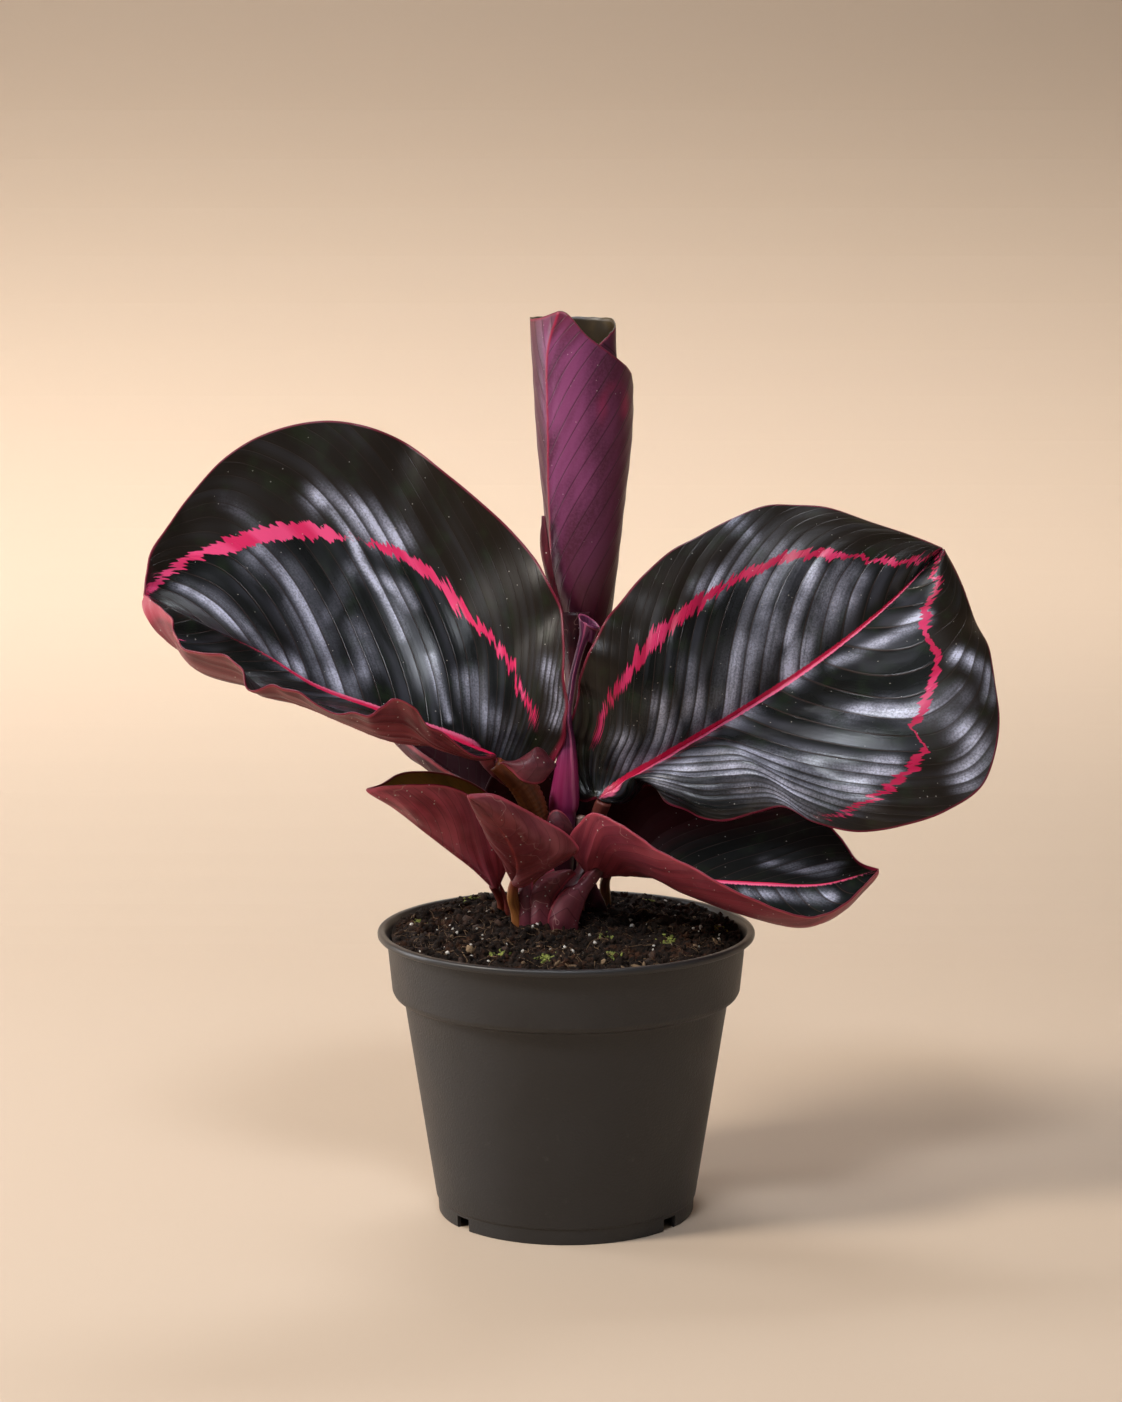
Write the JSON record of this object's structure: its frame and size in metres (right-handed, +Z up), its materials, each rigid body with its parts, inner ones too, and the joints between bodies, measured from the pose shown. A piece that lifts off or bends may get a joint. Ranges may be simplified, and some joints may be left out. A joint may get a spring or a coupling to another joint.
{
  "type": "potted calathea dottie",
  "caption": "Young prayer plant with near-black leaves that carry a crimson ring and midrib, a rolled new leaf and a spear, in a plain black plastic nursery pot of peat.",
  "frame": {"origin": "under the middle of the part's width, on the plane the pot stands on; the pot's axis lies 3.5 mm towards -X from it", "axes": "+Z up along the pot's axis, -Y towards the front of the plant, +X to its right"},
  "size_m": [0.2671, 0.1214, 0.2867],
  "materials": {
    "pot_plastic": "matte, finely pebbled, a little shinier on the lip",
    "peat": "coarse, dull, dark brown peat with fibres and white specks",
    "upper_blade": "satin, near-black with a crimson ring and midrib",
    "under_blade": "satin maroon",
    "rolled_blade": "satin purple with fine veins",
    "bract": "dull dark maroon",
    "stalk": "smooth, olive to red brown",
    "cut_stalk": "dry and pale"
  },
  "bodies": {
    "root": {"pot": "pot_plastic", "soil": "peat", "left_leaf": "upper_blade", "right_leaf": "upper_blade", "lower_left_leaf": "under_blade", "lower_centre_leaf": "under_blade", "lower_right_leaf": "under_blade", "back_leaf": "under_blade", "rolled_leaf": "rolled_blade", "spear_leaf": "rolled_blade", "centre_bract": "bract", "left_bract": "bract", "left_stalk": "stalk", "right_stalk": "stalk", "lower_left_stalk": "stalk", "lower_centre_stalk": "stalk", "lower_right_stalk": "stalk", "back_stalk": "stalk", "cut_stub": "cut_stalk"}
  },
  "joints": []
}
